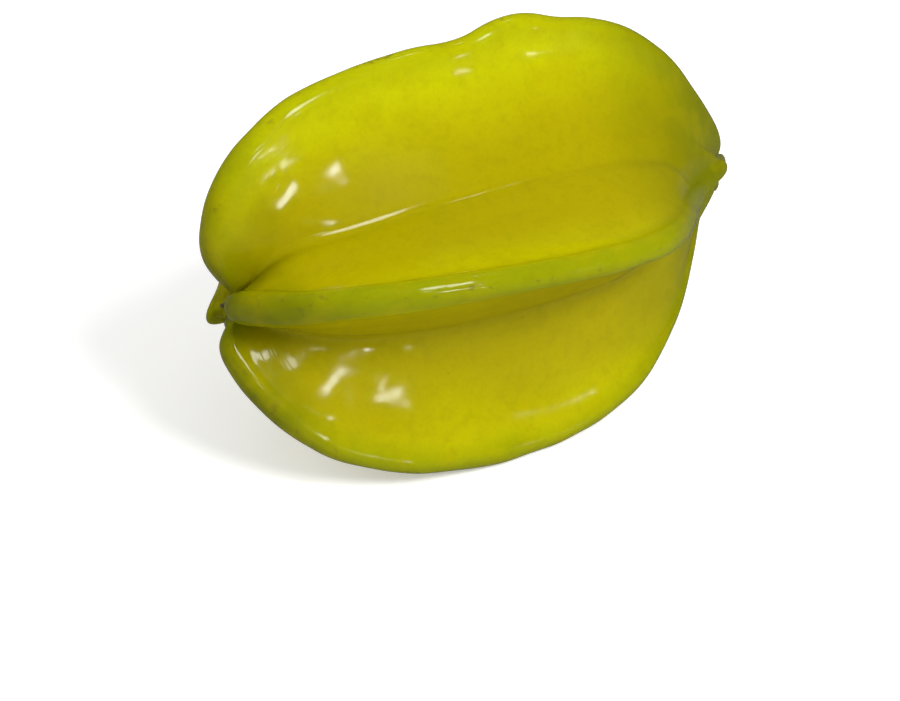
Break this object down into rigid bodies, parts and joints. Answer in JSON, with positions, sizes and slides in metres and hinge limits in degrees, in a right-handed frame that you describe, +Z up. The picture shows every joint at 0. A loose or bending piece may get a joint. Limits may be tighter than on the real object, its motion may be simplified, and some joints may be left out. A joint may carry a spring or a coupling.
{
  "type": "star fruit",
  "caption": "Whole ripe carambola with ribs that give it a star-shaped cross-section, lying on two of them; a short stub of stalk at one end and a dried style at the other.",
  "frame": {"origin": "under the middle of the fruit, on the surface that it lies on", "axes": "+X along the fruit's axis towards the stalk, +Z up as it lies on two ribs, -Y towards the rib that faces the viewer"},
  "size_m": [0.1248, 0.083, 0.0816],
  "materials": {
    "skin": "waxy green-yellow fruit skin, smooth and slightly translucent",
    "stalk": "dull brown cut stalk",
    "style": "dry dark brown plant remnant"
  },
  "bodies": {
    "root": {"fruit": "skin", "stalk_stub": "stalk", "dried_style": "style"}
  },
  "joints": []
}
